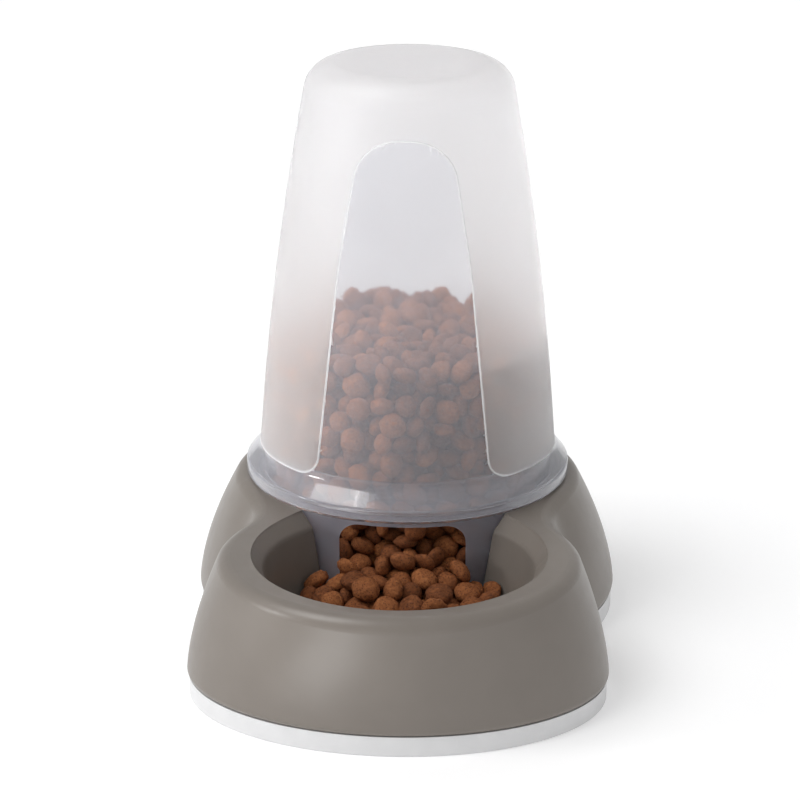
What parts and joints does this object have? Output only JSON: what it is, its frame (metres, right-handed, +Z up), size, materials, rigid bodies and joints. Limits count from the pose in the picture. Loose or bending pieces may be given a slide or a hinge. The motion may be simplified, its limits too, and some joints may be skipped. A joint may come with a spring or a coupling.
{
  "type": "gravity pet feeder",
  "caption": "Dry-food feeder: a translucent hopper stands on a lift-out chute that lets kibble run forward into the bowl of a two-lobed base with a non-slip ring underneath.",
  "frame": {"origin": "on the floor, under the middle of the base's footprint", "axes": "+Z up, -Y to the front where the bowl is, +X to the right seen from the front"},
  "size_m": [0.2046, 0.2868, 0.2715],
  "materials": {
    "base": "satin moulded polypropylene, warm taupe",
    "ring": "white soft non-slip elastomer",
    "chute": "smooth translucent grey polypropylene",
    "hopper": "translucent polypropylene, fine frosted texture with a smooth clear window and foot"
  },
  "bodies": {
    "base": {"base_shell": "base", "non_slip_ring": "ring"},
    "chute": {"chute": "chute"},
    "hopper": {"hopper": "hopper"}
  },
  "joints": [
    {"name": "chute_lift", "type": "slide", "parent": "base", "child": "chute", "axis": [0, 0, 1], "range_m": [0, 0.075]},
    {"name": "hopper_lift", "type": "slide", "parent": "chute", "child": "hopper", "axis": [0, 0, 1], "range_m": [0, 0.03]}
  ]
}
